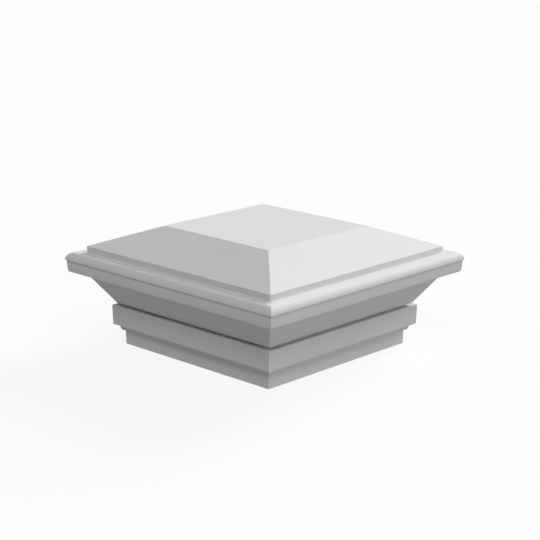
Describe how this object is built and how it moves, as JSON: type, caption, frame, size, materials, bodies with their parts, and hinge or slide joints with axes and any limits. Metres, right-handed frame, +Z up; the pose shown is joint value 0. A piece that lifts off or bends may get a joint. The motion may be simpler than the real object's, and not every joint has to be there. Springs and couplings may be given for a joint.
{
  "type": "post cap",
  "caption": "Square newel post cap with a stepped and bevelled underside, a rounded nose, a low pyramid with a flat top, and a socket for the post.",
  "frame": {"origin": "centre of the foot, in the plane of the bottom rim", "axes": "+Z up, along the post; the four sides are square to X and Y"},
  "size_m": [0.165, 0.165, 0.0715],
  "materials": {
    "white_moulding": "satin white, with a very fine moulded texture"
  },
  "bodies": {
    "root": {"post_cap": "white_moulding"}
  },
  "joints": []
}
